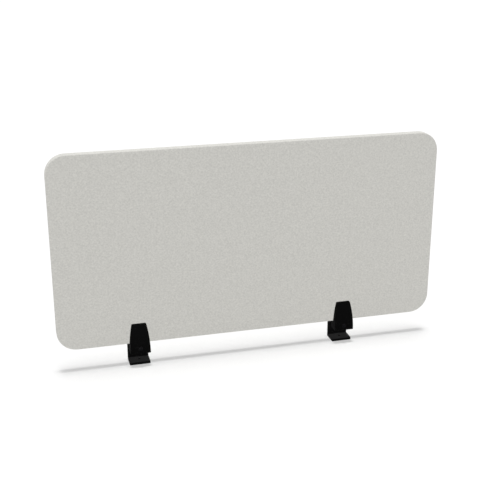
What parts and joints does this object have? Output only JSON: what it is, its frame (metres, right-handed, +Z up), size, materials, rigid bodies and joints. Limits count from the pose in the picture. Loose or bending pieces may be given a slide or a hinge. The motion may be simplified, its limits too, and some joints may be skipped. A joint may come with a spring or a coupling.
{
  "type": "acoustic divider screen",
  "caption": "Fabric-covered acoustic desk screen with rounded corners, held by black screw clamps with slotted steel brackets that grip the desktop's edge.",
  "frame": {"origin": "on the surface that the feet stand on, below the middle of the whole screen", "axes": "+X along the panel to the right as seen from the front, +Y from its front to its back, +Z up"},
  "size_m": [1.2, 0.0844, 0.672],
  "materials": {
    "fabric": "fine wool-blend weave, matt",
    "felt": "needled felt",
    "wood": "planed, raw",
    "absorber": "fibre slab",
    "black_plastic": "fine moulded texture, satin",
    "black_steel": "black powder coat, satin",
    "rubber": "matt",
    "dark_zinc": "black zinc plating, satin"
  },
  "bodies": {
    "screen": {"frame": "wood", "absorber": "absorber", "front_felt": "felt", "rear_felt": "felt", "front_cover": "fabric", "rear_cover": "fabric"},
    "left_clamp": {"left_rear_jaw": "black_plastic", "left_rear_grip_pad": "rubber", "left_rear_desk_pad": "rubber", "left_washer": "dark_zinc", "left_lock_nut": "dark_zinc"},
    "left_jaw": {"left_front_jaw": "black_plastic", "left_front_grip_pad": "rubber", "left_front_desk_pad": "rubber"},
    "left_screw": {"left_clamp_screw": "dark_zinc"},
    "left_bracket": {"left_bracket": "black_steel"},
    "right_clamp": {"right_rear_jaw": "black_plastic", "right_rear_grip_pad": "rubber", "right_rear_desk_pad": "rubber", "right_washer": "dark_zinc", "right_lock_nut": "dark_zinc"},
    "right_jaw": {"right_front_jaw": "black_plastic", "right_front_grip_pad": "rubber", "right_front_desk_pad": "rubber"},
    "right_screw": {"right_clamp_screw": "dark_zinc"},
    "right_bracket": {"right_bracket": "black_steel"}
  },
  "joints": [
    {"name": "left_clamp_slide", "type": "slide", "parent": "screen", "child": "left_clamp", "axis": [1, 0, 0], "range_m": [-0.15, 0.25]},
    {"name": "left_jaw_open", "type": "slide", "parent": "left_clamp", "child": "left_jaw", "axis": [0, -1, 0], "range_m": [0, 0.005]},
    {"name": "left_screw_turn", "type": "hinge", "parent": "left_jaw", "child": "left_screw", "pos_m": [-0.3545, 0, 0.061], "axis": [0, -1, 0], "range_deg": [0, 1440]},
    {"name": "left_bracket_slide", "type": "slide", "parent": "left_clamp", "child": "left_bracket", "axis": [0, 0, 1], "range_m": [-0.002, 0.023]},
    {"name": "right_clamp_slide", "type": "slide", "parent": "screen", "child": "right_clamp", "axis": [1, 0, 0], "range_m": [-0.25, 0.2]},
    {"name": "right_jaw_open", "type": "slide", "parent": "right_clamp", "child": "right_jaw", "axis": [0, -1, 0], "range_m": [0, 0.005]},
    {"name": "right_screw_turn", "type": "hinge", "parent": "right_jaw", "child": "right_screw", "pos_m": [0.303, 0, 0.061], "axis": [0, -1, 0], "range_deg": [0, 1440]},
    {"name": "right_bracket_slide", "type": "slide", "parent": "right_clamp", "child": "right_bracket", "axis": [0, 0, 1], "range_m": [-0.002, 0.023]}
  ],
  "couplings": [
    {"joint": "left_screw_turn", "follows": "left_jaw_open", "rad_per_m": 5026.5},
    {"joint": "right_screw_turn", "follows": "right_jaw_open", "rad_per_m": 5026.5}
  ]
}
